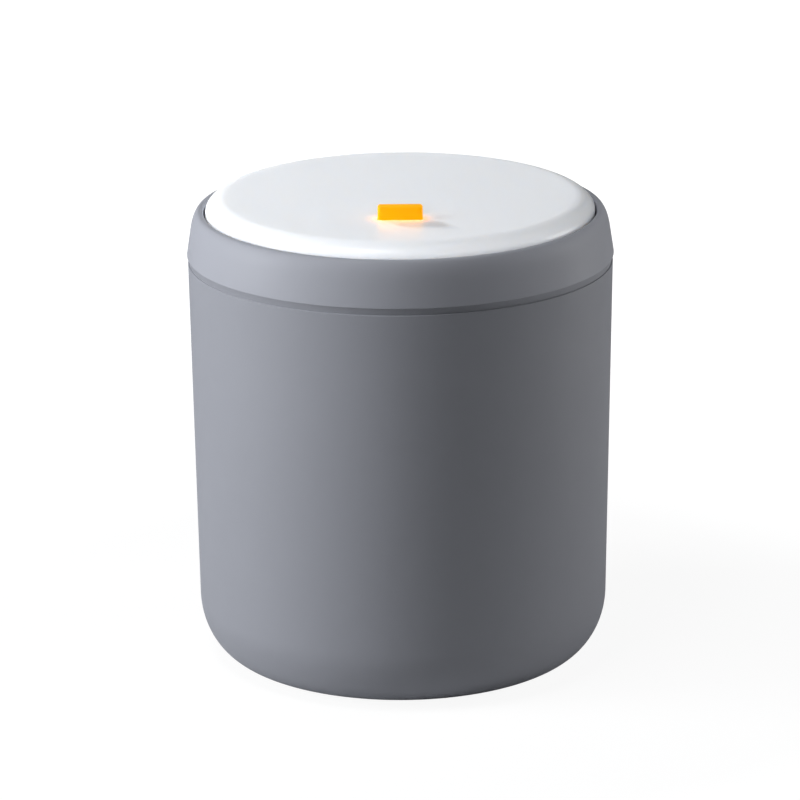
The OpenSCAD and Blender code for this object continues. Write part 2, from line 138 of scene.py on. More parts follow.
def ellipse(centre: Pair, radii: Pair, start: float, end: float, steps: int) -> list[Corner]:
    """Corners along an elliptical arc.

    Args:
        centre: Radius and height of the arc's centre.
        radii: Half width and half height of the ellipse.
        start: First angle in degrees.
        end: Last angle in degrees.
        steps: Number of steps between them.

    Returns:
        The corners, first to last.
    """
    (r, z), (wide, tall) = centre, radii
    turns = [radians(start + (end - start) * i / steps) for i in range(steps + 1)]
    return [Corner(r + wide * cos(a), z + tall * sin(a)) for a in turns]


def bend(p: Corner, q: Corner, s: Corner, t: Corner, steps: int) -> list[Corner]:
    """Corners along a cubic curve that leaves p towards q and comes to t from s."""
    made = []
    for i in range(steps + 1):
        k = i / steps
        shares = ((1 - k) ** 3, 3 * (1 - k) ** 2 * k, 3 * (1 - k) * k**2, k**3)
        r, z = (sum(a * getattr(c, n) for a, c in zip(shares, (p, q, s, t))) for n in ("r", "z"))
        made.append(Corner(r, z))
    return made


def soften(section: Sequence[Corner]) -> list[Vector]:
    """Rounds the corners of a closed section that ask for a fillet.

    Args:
        section: The section's corners in order.

    Returns:
        Points in the XZ plane, in order.
    """
    points = []
    for i, corner in enumerate(section):
        here = Vector((corner.r, 0, corner.z))
        if not corner.fillet:
            points.append(here)
            continue
        before, after = section[i - 1], section[(i + 1) % len(section)]
        a = Vector((before.r, 0, before.z)) - here
        b = Vector((after.r, 0, after.z)) - here
        reach = min(corner.fillet, MOST_FILLET * a.length, MOST_FILLET * b.length)
        start, end = here + a.normalized() * reach, here + b.normalized() * reach
        for k in range(FILLET_STEPS + 1):
            t = k / FILLET_STEPS
            points.append(start * (1 - t) ** 2 + here * 2 * t * (1 - t) + end * t**2)
    return points


def add_object(name: str, data: bpy.types.ID) -> Object:
    """Makes an object of a mesh, a curve, a camera or a light."""
    made = bpy.data.objects.new(name, data)
    bpy.context.scene.collection.objects.link(made)
    return made


def make_object(name: str, bm: bmesh.types.BMesh) -> Object:
    """Welds a mesh, turns its faces outwards and makes it an object.

    Args:
        name: The object's name.
        bm: The finished mesh, which is freed.

    Returns:
        The linked object, at the origin.
    """
    bmesh.ops.remove_doubles(bm, verts=bm.verts, dist=WELD)
    bmesh.ops.recalc_face_normals(bm, faces=bm.faces)
    mesh = bpy.data.meshes.new(name)
    bm.to_mesh(mesh)
    bm.free()
    made = add_object(name, mesh)
    shade(made)
    return made


def shade(piece: Object) -> None:
    """Shades a piece smooth across its soft edges and crisp at its sharp ones."""
    piece.data.shade_smooth()
    piece.data.set_sharp_from_angle(angle=SHARP_ANGLE)


def revolve(name: str, section: Sequence[Corner]) -> Object:
    """Spins a closed section round the bin's axis.

    Args:
        name: The object's name.
        section: Corners of the section, in order.

    Returns:
        A closed object.
    """
    bm = bmesh.new()
    ring = [bm.verts.new(p) for p in soften(section)]
    pairs = zip(ring, ring[1:] + ring[:1])
    edges = [bm.edges.new(p) for p in pairs if max(p[0].co.x, p[1].co.x) > ON_AXIS]
    around = {"cent": (0, 0, 0), "axis": (0, 0, 1), "angle": TURN, "steps": ROUND_STEPS}
    bmesh.ops.spin(bm, geom=ring + edges, use_merge=True, **around)
    return make_object(name, bm)


def prism(name: str, outline: Sequence[Pair], along: Along, low: float, high: float) -> Object:
    """Draws an outline out into a solid.

    Args:
        name: The object's name.
        outline: X and Y points for a prism along Z, or Y and Z points along X.
        along: The axis that it is drawn out along.
        low: Where it starts on that axis.
        high: Where it ends.

    Returns:
        A closed object.
    """
    bm = bmesh.new()
    place = (lambda a, b: (a, b, low)) if along is Along.Z else (lambda a, b: (low, a, b))
    face = bm.faces.new([bm.verts.new(place(*p)) for p in outline])
    drawn = bmesh.ops.extrude_face_region(bm, geom=[face])["geom"]
    way = Vector((0, 0, high - low)) if along is Along.Z else Vector((high - low, 0, 0))
    bmesh.ops.translate(bm, verts=[v for v in drawn if isinstance(v, bmesh.types.BMVert)], vec=way)
    return make_object(name, bm)


def brick(name: str, low: Triple, high: Triple, round_off: float = 0.0) -> Object:
    """A box between two corners, with rounded edges if asked.

    Args:
        name: The object's name.
        low: Its lowest corner.
        high: Its highest corner.
        round_off: Radius of its edges.

    Returns:
        A closed object.
    """
    a, b = Vector(low), Vector(high)
    bm = bmesh.new()
    size = Matrix.Diagonal((b - a).to_4d())
    bmesh.ops.create_cube(bm, size=1, matrix=Matrix.Translation((a + b) / 2) @ size)
    if round_off:
        soft = {"segments": EDGE_STEPS, "profile": 0.5, "affect": "EDGES", "material": -1}
        bmesh.ops.bevel(bm, geom=list(bm.edges), offset=round_off, **soft)
    return make_object(name, bm)


def rod(name: str, start: Vector, end: Vector, radius: float, sides: int = 40) -> Object:
    """A round rod between two points.

    Args:
        name: The object's name.
        start: Middle of one end.
        end: Middle of the other end.
        radius: Its radius.
        sides: Number of sides round it.

    Returns:
        A closed object.
    """
    way = end - start
    bm = bmesh.new()
    turn = way.to_track_quat("Z", "Y").to_matrix().to_4x4()
    spot = Matrix.Translation((start + end) / 2) @ turn
    shape = {"segments": sides, "radius1": radius, "radius2": radius, "depth": way.length}
    bmesh.ops.create_cone(bm, cap_ends=True, matrix=spot, **shape)
    return make_object(name, bm)


def merge(parts: Sequence[Object]) -> Object:
    """Puts separate closed forms, none touching another, into the first one's mesh."""
    bm = bmesh.new()
    for part in parts:
        bm.from_mesh(part.data)
    name = parts[0].name
    for part in parts:
        bpy.data.objects.remove(part)
    return make_object(name, bm)


def combine(piece: Object, join: Join, tools: Sequence[Object]) -> None:
    """Adds tools to a piece or cuts them from it, then removes them.

    Args:
        piece: The piece, whose mesh is replaced.
        join: Whether the tools add or cut.
        tools: Closed forms.
    """
    for tool in tools:
        step = piece.modifiers.new("join", "BOOLEAN")
        step.operation = join.value
        step.solver = "EXACT"
        step.object = tool
        graph = bpy.context.evaluated_depsgraph_get()
        made = bpy.data.meshes.new_from_object(piece.evaluated_get(graph))
        piece.modifiers.clear()
        piece.data = made
        bpy.data.objects.remove(tool)
    bm = bmesh.new()
    bm.from_mesh(piece.data)
    bmesh.ops.remove_doubles(bm, verts=bm.verts, dist=WELD)
    bmesh.ops.dissolve_degenerate(bm, dist=WELD, edges=bm.edges)
    bm.to_mesh(piece.data)
    bm.free()
    shade(piece)


def arc_points(radius: float, half_width: float, front: bool, steps: int = 12) -> list[Pair]:
    """X and Y points on the stretch of a circle that a half width takes in.

    Args:
        radius: The circle's radius, about the bin's axis.
        half_width: Half the width of the stretch.
        front: True for the front of the circle, False for its rear.
        steps: Number of steps.

    Returns:
        Points from +X to -X.
    """
    reach = asin(half_width / radius)
    side = -1 if front else 1
    turns = [reach - 2 * reach * i / steps for i in range(steps + 1)]
    return [(radius * sin(a), side * radius * cos(a)) for a in turns]


class Nodes:
    """A small hand for laying out shader nodes in a tree."""

    def __init__(self, tree: NodeTree) -> None:
        """Starts on an empty tree."""
        self.tree = tree
        tree.nodes.clear()

    def add(self, kind: str, **settings: object) -> bpy.types.Node:
        """Adds a node.

        Args:
            kind: The node's type name, after the words that all of them start with.
            **settings: Properties of the node, and values of its inputs by name
                with spaces as underscores.

        Returns:
            The node.
        """
        node = self.tree.nodes.new(f"ShaderNode{kind}")
        for key, value in settings.items():
            if hasattr(node, key):
                setattr(node, key, value)
            else:
                node.inputs[key.replace("_", " ")].default_value = value
        return node

    def link(self, source: Value, target: Socket) -> None:
        """Links a value to a socket, or sets the socket to a number or a colour."""
        if isinstance(source, Socket):
            self.tree.links.new(source, target)
        else:
            target.default_value = (*source, 1) if isinstance(source, tuple) else source

    def times(self, first: Value, second: Value) -> Socket:
        """Multiplies two values."""
        node = self.add("Math", operation="MULTIPLY")
        self.link(first, node.inputs[0])
        self.link(second, node.inputs[1])
        return node.outputs["Value"]

    def spread(self, value: Socket, **limits: float) -> Socket:
        """Maps a value from one range to another."""
        node = self.add("MapRange", **limits)
        self.link(value, node.inputs["Value"])
        return node.outputs["Result"]

    def noise(self, place: Socket, size: Value, **settings: float) -> Socket:
        """Noise at a place."""
        node = self.add("TexNoise", **settings)
        self.link(place, node.inputs["Vector"])
        self.link(size, node.inputs["Scale"])
        return node.outputs["Fac"]

    def shader_mix(self, share: Socket, first: Socket, second: Socket) -> Socket:
        """Mixes two shaders by a share."""
        node = self.add("MixShader")
        for i, value in enumerate((share, first, second)):
            self.link(value, node.inputs[i])
        return node.outputs["Shader"]

    def tint(self, share: Value, first: Value, second: Value) -> Socket:
        """Mixes two colours by a share."""
        node = self.add("Mix", data_type="RGBA", blend_type="MIX")
        for name, value in (("Factor", share), ("A", first), ("B", second)):
            self.link(value, node.inputs[name])
        return node.outputs["Result"]


Group = tuple[Nodes, bpy.types.NodeOutputs, bpy.types.NodeInputs]


def new_group(name: str, inputs: Sequence[str], outputs: Sequence[str]) -> Group:
    """Starts a shader node group with float inputs and outputs.

    Args:
        name: The group's name.
        inputs: Input names.
        outputs: Output names.

    Returns:
        A hand on the group's nodes, what comes in and what goes out.
    """
    tree = bpy.data.node_groups.new(name, "ShaderNodeTree")
    for way, keys in (("INPUT", inputs), ("OUTPUT", outputs)):
        for key in keys:
            tree.interface.new_socket(key, in_out=way, socket_type="NodeSocketFloat")
    n = Nodes(tree)
    return n, tree.nodes.new("NodeGroupInput").outputs, tree.nodes.new("NodeGroupOutput").inputs


def build_grain() -> NodeTree:
    """The fine spark-eroded grain of a mould, with a slow drift in its tone.

    Returns:
        A group with inputs Size and Drift Size, and outputs Height and Tone.
    """
    n, given, made = new_group("mould_grain", ("Size", "Drift Size"), ("Height", "Tone"))
    place = n.add("TexCoord").outputs["Object"]
    fine = n.noise(place, given["Size"], Detail=3.0, Roughness=0.6)
    drift = n.noise(place, given["Drift Size"], Detail=2.0, Roughness=0.5)
    pits = n.add("TexVoronoi", feature="SMOOTH_F1", Smoothness=0.6)
    n.link(place, pits.inputs["Vector"])
    n.link(given["Size"], pits.inputs["Scale"])
    pit_share = 0.6
    mix = n.add("Math", operation="MULTIPLY_ADD")
    for i, value in enumerate((pits.outputs["Distance"], pit_share, fine)):
        n.link(value, mix.inputs[i])
    n.link(mix.outputs["Value"], made["Height"])
    n.link(drift, made["Tone"])
    return n.tree


def build_wear() -> NodeTree:
    """Rubbed edges and handling marks.

    Returns:
        A group with inputs Edge and Mark Size, and outputs Edge and Marks.
    """
    n, given, made = new_group("edge_wear", ("Edge", "Mark Size"), ("Edge", "Marks"))
    place, shape = n.add("TexCoord"), n.add("NewGeometry")
    ridge = n.spread(shape.outputs["Pointiness"], From_Min=0.5, From_Max=0.62)
    breakup = n.noise(place.outputs["Object"], given["Mark Size"], Detail=4.0)
    n.link(n.times(ridge, given["Edge"]), made["Edge"])
    n.link(n.spread(breakup, From_Min=0.42, From_Max=0.68), made["Marks"])
    return n.tree


def build_dust() -> NodeTree:
    """A thin settling of dust on what faces up.

    Returns:
        A group with inputs Amount and Size, and the output Mask.
    """
    n, given, made = new_group("settled_dust", ("Amount", "Size"), ("Mask",))
    place, shape = n.add("TexCoord"), n.add("NewGeometry")
    split = n.add("SeparateXYZ")
    n.link(shape.outputs["Normal"], split.inputs["Vector"])
    up = n.spread(split.outputs["Z"], From_Min=0.55, From_Max=1.0)
    specks = n.noise(place.outputs["Object"], given["Size"], Detail=6.0, Roughness=0.7)
    patch = n.spread(specks, From_Min=0.45, From_Max=0.75)
    n.link(n.times(n.times(up, patch), given["Amount"]), made["Mask"])
    return n.tree


def new_material(name: str, **settings: float) -> tuple[Material, Nodes, bpy.types.NodeInputs]:
    """Starts a material on one shader.

    Args:
        name: The material's name.
        **settings: Values of the shader's inputs.

    Returns:
        The material, a hand on its nodes and the shader's inputs.
    """
    made = bpy.data.materials.new(name)
    made.use_nodes = True
    n = Nodes(made.node_tree)
    shader = n.add("BsdfPrincipled", **settings)
    n.link(shader.outputs["BSDF"], n.add("OutputMaterial").inputs["Surface"])
    return made, n, shader.inputs


class Effects:
    """The shader node groups that the finishes share."""

    def __init__(self) -> None:
        """Builds each group once."""
        self.grain = build_grain()
        self.wear = build_wear()
        self.dust = build_dust()


DUST_COLOUR = (0.62, 0.61, 0.59)
# How far red, green and blue light get into a plastic, as shares of its depth.
SCATTER = (1.0, 0.9, 0.8)


@dataclass(frozen=True)
class Plastic:
    """A moulded plastic: its colour, gloss, grain and wear, and a painted glow where one is set.

    Attributes:
        name: The material's name.
        colour: Linear base colour.
        roughness: Roughness of the moulded face.
        grain_size: How fine the grain is.
        grain_depth: Depth of the grain in metres.
        drift: How far the tone drifts over the piece.
        worn: Colour of a rubbed edge.
        edge: Strength of the edge wear.
        dust: Amount of settled dust.
        specular: Strength of the surface reflection.
        marks: How much handling changes the roughness.
        glow: Strength of a painted glow, emission in the plastic's own colour that shows it brighter than
            its lamps light it.
        spill: How many times stronger the painted glow is on what stands round the piece, where it paints
            light of the piece's colour.
        depth: How far light gets into the plastic, in metres.
        scatter: Share of the light that gets in, where there is a depth.
    """

    name: str
    colour: Triple
    roughness: float
    grain_size: float = 1100.0
    grain_depth: float = 0.02 * MM
    drift: float = 0.03
    worn: Triple = (0.6, 0.6, 0.62)
    edge: float = 0.1
    dust: float = 0.0
    specular: float = 0.5
    marks: float = 0.035
    glow: float = 0.0
    spill: float = 3.2
    depth: float = 0.0
    scatter: float = 0.85

    def build(self, effects: Effects) -> Material:
        """Makes the material.

        Args:
            effects: The shared node groups.

        Returns:
            The material.
        """
        made, n, shader = new_material(self.name, IOR=1.47)
        shader["Specular IOR Level"].default_value = self.specular
        if self.depth:
            shader["Subsurface Weight"].default_value = self.scatter
            shader["Subsurface Radius"].default_value = SCATTER
            shader["Subsurface Scale"].default_value = self.depth

        grain = n.add("Group", node_tree=effects.grain, Size=self.grain_size, Drift_Size=14.0)
        wear = n.add("Group", node_tree=effects.wear, Edge=self.edge, Mark_Size=45.0)
        dust = n.add("Group", node_tree=effects.dust, Amount=self.dust, Size=160.0)

        low = tuple(c * (1 - self.drift) for c in self.colour)
        high = tuple(min(1, c * (1 + self.drift)) for c in self.colour)
        tone = n.tint(grain.outputs["Tone"], low, high)
        rubbed = n.tint(wear.outputs["Edge"], tone, self.worn)
        n.link(n.tint(dust.outputs["Mask"], rubbed, DUST_COLOUR), shader["Base Color"])

        # Painted glow: emission in the plastic's colour brightens the piece itself and, stronger for all
        # but camera rays, paints its coloured light onto what stands round it.
        if self.glow:
            shader["Emission Color"].default_value = (*self.colour, 1)
            seen = n.add("LightPath").outputs["Is Camera Ray"]
            given = n.spread(seen, To_Min=self.spill * self.glow, To_Max=self.glow)
            n.link(given, shader["Emission Strength"])
        smooth, rough = self.roughness - self.marks, self.roughness + self.marks
        gloss = n.spread(wear.outputs["Marks"], To_Min=smooth, To_Max=rough)
        n.link(gloss, shader["Roughness"])
        bump = n.add("Bump", Strength=0.6, Distance=self.grain_depth)
        n.link(grain.outputs["Height"], bump.inputs["Height"])
        n.link(bump.outputs["Normal"], shader["Normal"])
        return made


@dataclass(frozen=True)
class Metal:
    """A drawn or plated metal with fine lines along one axis.

    Attributes:
        name: The material's name.
        colour: Linear base colour.
        roughness: Roughness of the metal.
        lines: Stretch of the lines along X, Y and Z.
        tarnish: Colour in the dull patches.
        dulling: Strength of the dull patches.
        gloss: How much smoother and how much rougher the lines get.
    """

    name: str
    colour: Triple
    roughness: float
    lines: Triple = (40.0, 900.0, 900.0)
    tarnish: Triple = (0.35, 0.33, 0.31)
    dulling: float = 0.3
    gloss: Pair = (0.06, 0.1)

    def build(self, effects: Effects) -> Material:
        """Makes the material.

        Args:
            effects: The shared node groups.

        Returns:
            The material.
        """
        made, n, shader = new_material(self.name, Metallic=1.0)
        place = n.add("TexCoord")
        stretch = n.add("Mapping", Scale=self.lines)
        n.link(place.outputs["Object"], stretch.inputs["Vector"])
        lines = n.noise(stretch.outputs["Vector"], 3.0, Detail=2.0)
        wear = n.add("Group", node_tree=effects.wear, Edge=0.3, Mark_Size=220.0)
        dull = n.times(wear.outputs["Marks"], self.dulling)
        n.link(n.tint(dull, self.colour, self.tarnish), shader["Base Color"])
        smooth, rough = self.roughness - self.gloss[0], self.roughness + self.gloss[1]
        n.link(n.spread(lines, To_Min=smooth, To_Max=rough), shader["Roughness"])
        bump = n.add("Bump", Strength=0.3, Distance=0.01 * MM)
        n.link(lines, bump.inputs["Height"])
        n.link(bump.outputs["Normal"], shader["Normal"])
        return made


BODY_GREY = Plastic("body_grey", (0.32, 0.328, 0.363), 0.62, edge=0.08, specular=0.35)
COLLAR_GREY = Plastic("collar_grey", (0.4, 0.41, 0.453), 0.58, edge=0.08, specular=0.35)
PAN_GREY = Plastic("pan_grey", (0.3, 0.31, 0.345), 0.5, edge=0.08)
LID_WHITE = Plastic(
    "lid_white", (0.78, 0.79, 0.81), 0.34, grain_size=240.0, grain_depth=0.004 * MM, drift=0.01,
    worn=(0.9, 0.9, 0.9), edge=0.05, marks=0.008, depth=7.0 * MM, specular=0.45,
)
# The tab's glow is painted light: it brightens the tab past what its lamps give and paints an orange glow
# on the lid in front of it.
TAB_ORANGE = Plastic(
    "tab_orange", (1.0, 0.42, 0.0), 0.5, grain_depth=0.01 * MM,
    worn=(1.0, 0.6, 0.15), edge=0.15, specular=0.15, glow=0.5, depth=0.8 * MM,
)
LATCH_BLACK = Plastic("latch_black", (0.035, 0.035, 0.04), 0.42, edge=0.2, worn=(0.15, 0.15, 0.16))
PAD_RUBBER = Plastic(
    "pad_rubber", (0.03, 0.03, 0.032), 0.78, grain_size=1500.0, grain_depth=0.04 * MM, drift=0.12,
    dust=0.03, specular=0.25,
)
SPRING_WIRE = Metal("spring_wire", (0.56, 0.56, 0.57), 0.3, lines=(500.0, 500.0, 60.0))
PIN_STEEL = Metal("pin_steel", (0.62, 0.62, 0.63), 0.24)
SCREW_ZINC = Metal(
    "screw_zinc", (0.68, 0.69, 0.7), 0.28, lines=(500.0,) * 3, tarnish=(0.45, 0.43, 0.38)
)
PLASTICS = (BODY_GREY, COLLAR_GREY, PAN_GREY, LID_WHITE, TAB_ORANGE, LATCH_BLACK, PAD_RUBBER)
METALS = (SPRING_WIRE, PIN_STEEL, SCREW_ZINC)


def wire(name: str, points: Sequence[Vector], radius: float) -> Object:
    """Sweeps a round wire along a line, closed at both ends.

    Args:
        name: The object's name.
        points: The wire's middle line.
        radius: Radius of the wire.

    Returns:
        The wire as a mesh.
    """
    line = bpy.data.curves.new(f"{name}_line", "CURVE")
    line.dimensions = "3D"
    line.bevel_depth, line.bevel_resolution, line.use_fill_caps = radius, 3, True
    spline = line.splines.new("POLY")
    spline.points.add(len(points) - 1)
    for spot, point in zip(spline.points, points):
        spot.co = (*point, 1)
    guide = add_object(f"{name}_guide", line)
    graph = bpy.context.evaluated_depsgraph_get()
    mesh = bpy.data.meshes.new_from_object(guide.evaluated_get(graph))
    bpy.data.objects.remove(guide)
    made = add_object(name, mesh)
    shade(made)
    return made


def dress(piece: Object, material: Material) -> None:
    """Gives a piece its material."""
    piece.data.materials.clear()
    piece.data.materials.append(material)


class Workshop:
    """What every sub-assembly needs: the frame's boxes and the finishes."""

    def __init__(self, frame: dict) -> None:
        """Builds the finishes once.
        """
        self.nodes: dict[str, Object] = frame["nodes"]
        effects = Effects()
        self.materials = {finish: finish.build(effects) for finish in PLASTICS + METALS}
        hinge = next(j for j in frame["joints"] if j["name"] == "lid_hinge")
        self.hinge = Vector(hinge["pos_m"])
        self.open_angle = radians(hinge["range_deg"][1])

    def ends(self, x: float, width: float) -> list[Vector]:
        """Both ends of a stretch of the hinge pin's line."""
        return [Vector((x + s * width / 2, self.hinge.y, self.hinge.z)) for s in (-1, 1)]

    def bore(self, radius: float) -> Object:
        """A cutter for the hinge pin's bore."""
        return rod("bore", *self.ends(0, BORE_LENGTH), radius, BORE_SIDES)

    def repaint(self, node: str, finish: Plastic | Metal) -> None:
        """Gives a construction node its finish, with its mesh left as it is."""
        shown = self.nodes[node]
        if not shown.material_slots:
            shown.data.materials.append(self.materials[finish])
        for held in shown.material_slots:
            held.material = self.materials[finish]

    def place(self, piece: Object, node: str, body: str, finish: Plastic | Metal, slot: str) -> None:
        """Dresses a new piece, puts it in a node's place and lets it ride on a body."""
        dress(piece, self.materials[finish])
        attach(piece, body)
        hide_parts(node)
        log.info("%s: %d faces", piece.name, len(piece.data.polygons))


@dataclass
class Body:
    """The drafted round body and its foot pads.

    Attributes:
        wall: Thickness of the wall and floor.
        draft: How much the radius shrinks from the rim to the underside.
        corner: Width and height of the rounded bottom edge.
        groove: Depth and height of the shadow groove under the collar.
        hollow: Radius and depth of the hollow in the underside.
        feet: Number of foot pads.
        foot_ring: Radius of the circle that the pads lie on.
        foot_seat: Radius and depth of a pad's recess.
    """

    shop: Workshop
    wall: float = 2.4 * MM
    draft: float = 2.4 * MM
    corner: Pair = (20 * MM, 27 * MM)
    groove: Pair = (0.65 * MM, 3 * MM)
    hollow: Pair = (50 * MM, 1.2 * MM)
    feet: int = 4
    foot_ring: float = 59 * MM
    foot_seat: Pair = (6.05 * MM, 1.2 * MM)
    low: Vector = field(init=False)
    high: Vector = field(init=False)

    def __post_init__(self) -> None:
        """Reads where the construction puts the body."""
        self.low, self.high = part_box("bin_body")

    def face(self, inset: float, steps: int) -> list[Corner]:
        """The outer face from the underside to the start of the straight wall.

        Args:
            inset: How far the face is drawn in, for the cavity.
            steps: Number of steps in the rounded edge.

        Returns:
            Corners from the underside upwards.
        """
        flat = self.high.x - self.draft - self.corner[0]
        width, height = self.corner[0] - inset, self.corner[1] - inset
        lean = self.draft / (self.high.z - self.low.z)
        tangent = -degrees(atan(lean * height / width))
        return ellipse((flat, self.low.z + self.corner[1]), (width, height), -90, tangent, steps)

    def build(self) -> None:
        """Makes the body and dresses its pads."""
        radius, rim, base = self.high.x, self.high.z, self.low.z
        depth, height = self.groove
        section = [
            Corner(0, base + self.hollow[1]),
            Corner(self.hollow[0], base + self.hollow[1], 0.5 * MM),
            Corner(self.hollow[0], base, 0.5 * MM),
            *self.face(0, 40),
            Corner(radius, rim - height, 0.6 * MM),
            Corner(radius - depth, rim - height, 1.0 * MM),
            Corner(radius - depth / 6, rim, 0.1 * MM),
            Corner(radius - self.wall, rim, 0.4 * MM),
            *reversed(self.face(self.wall, 24)),
            Corner(0, base + self.wall),
        ]
        shell = revolve("bin_shell", section)
        recesses = []
        for k in range(self.feet):
            turn = TURN * (k + 0.5) / self.feet
            foot = Vector((cos(turn), sin(turn), 0)) * self.foot_ring
            top = Vector((0, 0, base + self.foot_seat[1]))
            recesses.append(rod("seat", foot, foot + top, self.foot_seat[0]))
            self.shop.repaint(f"foot_pad_{k + 1}", PAD_RUBBER)
        combine(shell, Join.CUT, [merge(recesses)])
        self.shop.place(shell, "bin_body", "bin", BODY_GREY, "body_plastic")


@dataclass
class Collar:
    """The rim collar: outer wall, rolled top, plug with ribs, shelf and hinge lugs.

    Attributes:
        wall: Thickness of the outer wall.
        lean: How much the straight part leans in.
        straight: Height of the straight part.
        mouth: Radius of the inner wall's inner face.
        plug: Outer radius of the inner wall and how deep it goes into the body.
        lip: Radius of the rolled top's inner edge.
        pull: What draws the rolled top's curve: a share of its rise, and a reach from the mouth.
        shelf: Width, thickness and height of the shelf under the lid.
        rib: Outer radius, thickness and number of the locating ribs.
        lug: Offset along the pin, width and neck thickness of a hinge lug.
        eye: Radius of an eye and of its bore.
        bracket: Half width, thickness and top height of the hinge bracket.
        pocket: Half width, radius, low and high of the keeper pocket.
        rear_cut: Half width of the shelf's opening at the hinge, and its reach ahead of the pin.
        socket: Radius of the spring leg's socket.
        buffers: Number of the lid's buffers.
    """

    shop: Workshop
    wall: float = 2.2 * MM
    lean: float = 1.77 * MM
    straight: float = 11.5 * MM
    mouth: float = 83.4 * MM
    plug: Pair = (85.2 * MM, 13 * MM)
    lip: float = 0.8 * MM
    pull: Pair = (0.46, 3.5 * MM)
    shelf: Triple = (5.9 * MM, 1.5 * MM, 188.4 * MM)
    rib: tuple[float, float, int] = (87.55 * MM, 1.6 * MM, 16)
    lug: Triple = (22 * MM, 4.5 * MM, 3.2 * MM)
    eye: Pair = (2.8 * MM, 1.3 * MM)
    bracket: Triple = (27.25 * MM, 2.6 * MM, 183.11 * MM)
    pocket: tuple[float, float, float, float] = (10.1 * MM, 85.6 * MM, 192.5 * MM, 195.6 * MM)
    rear_cut: Pair = (48 * MM, 12 * MM)
    socket: float = 0.8 * MM
    buffers: int = 4
    rim: float = field(init=False)
    top: float = field(init=False)
    radius: float = field(init=False)

    def __post_init__(self) -> None:
        """Reads where the construction puts the collar."""
        self.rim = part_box("bin_body")[1].z
        self.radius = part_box("rim_collar")[1].x
        self.top = self.shop.hinge.z

    def section(self) -> list[Corner]:
        """The collar's section: outer wall, rolled top, inner wall and shelf."""
        knee, knee_r = self.rim + self.straight, self.radius - self.lean
        slope, rise = self.lean / self.straight, self.pull[0] * (self.top - knee)
        plug_r, plug_low = self.plug[0], self.rim - self.plug[1]
        width, thick, shelf_z = self.shelf
        roof = self.top - self.wall - 1.2 * MM
        inner = knee_r - self.wall
        roll = bend(
            Corner(knee_r, knee),
            Corner(knee_r - slope * rise, knee + rise),
            Corner(self.mouth + self.pull[1], self.top),
            Corner(self.mouth + 2 * self.lip, self.top),
            28,
        )
        lip = ellipse((self.mouth + self.lip, self.top - self.lip), (self.lip, self.lip), 90, 180, 10)
        ceiling = bend(
            Corner(plug_r, roof - 1 * MM),
            Corner(plug_r + 0.4 * MM, roof),
            Corner(inner, knee + rise),
            Corner(inner, knee),
            12,
        )
        return [
            Corner(self.radius, self.rim, 0.35 * MM),
            *roll,
            *lip,
            Corner(self.mouth, shelf_z, 0.3 * MM),
            Corner(self.mouth - width, shelf_z, 0.4 * MM),
            Corner(self.mouth - width, shelf_z - thick, 0.5 * MM),
            Corner(self.mouth, shelf_z - thick - 0.6 * width, 1 * MM),
            Corner(self.mouth, plug_low, 0.4 * MM),
            Corner(plug_r, plug_low, 0.5 * MM),
            *ceiling,
            Corner(self.radius - self.wall, self.rim, 0.3 * MM),
        ]

    def ribs(self) -> Object:
        """The locating ribs outside the inner wall, as one form."""
        reach, thick, count = self.rib
        low, high = self.rim - self.plug[1] + 1 * MM, self.rim + 4 * MM
        root, step = self.plug[0] - 0.5 * MM, TURN / count
        made = []
        for i in range(count):
            bar = brick("rib", (root, -thick / 2, low), (reach, thick / 2, high), 0.25 * MM)
            bar.data.transform(Matrix.Rotation((i + 0.5) * step, 4, "Z"))
            made.append(bar)
        return merge(made)

    def hinge_parts(self) -> list[Object]:
        """The bracket behind the lid, its gussets, and the two lugs with eyes."""
        half, thick, top = self.bracket
        offset, width, neck = self.lug
        _, y, z = self.shop.hinge
        front, low = y - neck / 2 - 0.8 * MM, top - thick
        deep, web_half = self.mouth + 0.9 * MM, 1 * MM
        outline = [(half, front), *arc_points(deep, half, False), (-half, front)]
        parts = [prism("bracket", outline, Along.Z, low, top)]
        for x in (-offset, 0, offset):
            wall_y = sqrt(deep**2 - (abs(x) + web_half) ** 2)
            web = [(y, low + 0.4 * MM), (wall_y, low + 0.4 * MM), (wall_y, low - 9 * MM)]
            parts.append(prism("gusset", web, Along.X, x - web_half, x + web_half))
        for x in (-offset, offset):
            ends = self.shop.ends(x, width)
            parts.append(rod("eye", *ends, self.eye[0], PIN_SIDES))
            foot = (ends[0].x, y - neck / 2, top - thick / 2)
            parts.append(brick("neck", foot, (ends[1].x, y + neck / 2, z)))
        return parts

    def cuts(self) -> list[Object]:
        """The keeper pocket, the pin bore and the spring's socket."""
        half, deep, low, high = self.pocket
        front = -self.mouth + 2 * MM
        outline = [(half, front), *arc_points(deep, half, True), (-half, front)]
        pocket = prism("pocket", outline, Along.Z, low, high)
        top = self.bracket[2] + CUT_SPILL
        foot = top - self.bracket[1] - 2 * CUT_SPILL
        ends = [Vector((SPRING_X, self.shop.hinge.y, z)) for z in (foot, top)]
        return [pocket, self.shop.bore(self.eye[1]), rod("socket", *ends, self.socket, 24)]

    def build(self) -> None:
        """Makes the collar and dresses the lid's buffers."""
        ring = revolve("collar_ring", self.section())
        half, rear = self.rear_cut[0], self.shop.hinge.y - self.rear_cut[1]
        width, thick, shelf_z = self.shelf
        clear = [(half, rear), *arc_points(self.mouth, half, False, 32), (-half, rear)]
        opening = prism("rear_cut", clear, Along.Z, shelf_z - thick - width, shelf_z + 1 * MM)
        combine(ring, Join.CUT, [opening])
        combine(ring, Join.ADD, [self.ribs(), *self.hinge_parts()])
        combine(ring, Join.CUT, self.cuts())
        self.shop.place(ring, "rim_collar", "collar", COLLAR_GREY, "body_plastic")
        for k in range(self.buffers):
            self.shop.repaint(f"lid_buffer_{k + 1}", PAD_RUBBER)


